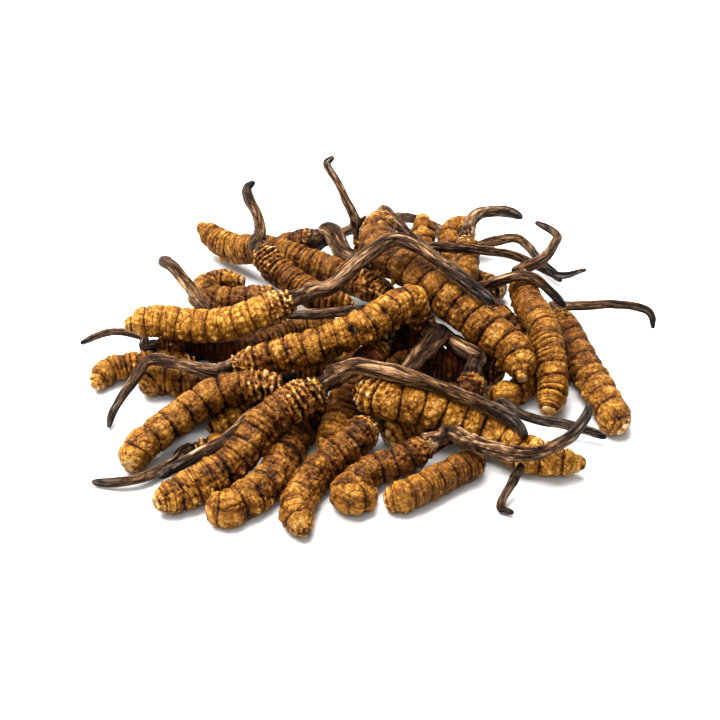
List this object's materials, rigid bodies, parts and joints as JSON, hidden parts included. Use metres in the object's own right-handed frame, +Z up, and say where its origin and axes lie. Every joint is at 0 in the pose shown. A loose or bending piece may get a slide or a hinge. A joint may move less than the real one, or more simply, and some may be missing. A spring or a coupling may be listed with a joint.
{
  "type": "cordyceps_bundle",
  "caption": "Loose heap of dried cordyceps: ridged golden-brown larvae, most with a dark wrinkled fungus stalk from the head",
  "frame": {"origin": "centre of the heap's outline on the surface that it lies on", "axes": "+X along the heap's longest side, +Y to its back, +Z up, its shortest side"},
  "size_m": [0.119, 0.1078, 0.0264],
  "materials": {
    "larva": "matte",
    "stalk": "satin"
  },
  "bodies": {
    "root": {"larva_top_left": "larva", "larva_top_middle": "larva", "larva_top_right": "larva", "larva_front_arch": "larva", "larva_front_ridge": "larva", "larva_front_curl": "larva", "larva_front_short": "larva", "larva_front_centre": "larva", "larva_under_ridge": "larva", "larva_middle_steep": "larva", "larva_front_left": "larva", "larva_left_long": "larva", "larva_left_under": "larva", "larva_left_thin": "larva", "larva_left_hidden": "larva", "larva_back_left": "larva", "larva_back_banded": "larva", "larva_left_dark": "larva", "larva_left_edge": "larva", "larva_left_low": "larva", "larva_back_small": "larva", "larva_hooked_tail": "larva", "larva_back_upright": "larva", "larva_back_right": "larva", "larva_back_bent": "larva", "larva_right_upright": "larva", "larva_right_under": "larva", "larva_middle_gold": "larva", "larva_middle_low": "larva", "larva_middle_shade": "larva", "larva_right_tail": "larva", "larva_right_long": "larva", "larva_right_edge": "larva", "larva_middle_brown": "larva", "stalk_top_left": "stalk", "stalk_top_middle": "stalk", "stalk_top_right": "stalk", "stalk_top_right_twin": "stalk", "stalk_front_arch": "stalk", "stalk_front_curl": "stalk", "stalk_front_curl_branch": "stalk", "stalk_under_ridge": "stalk", "stalk_middle_steep": "stalk", "stalk_left_crossing": "stalk", "stalk_left_thin": "stalk", "stalk_back_left": "stalk", "stalk_back_banded": "stalk", "stalk_left_dark": "stalk", "stalk_left_leaning": "stalk", "stalk_left_low": "stalk", "stalk_back_small": "stalk", "stalk_back_upright": "stalk", "stalk_back_loose": "stalk", "stalk_back_right": "stalk", "stalk_right_upright": "stalk", "stalk_right_under": "stalk", "stalk_middle_gold": "stalk", "stalk_middle_low": "stalk", "stalk_right_long": "stalk", "stalk_right_edge": "stalk"}
  },
  "joints": []
}
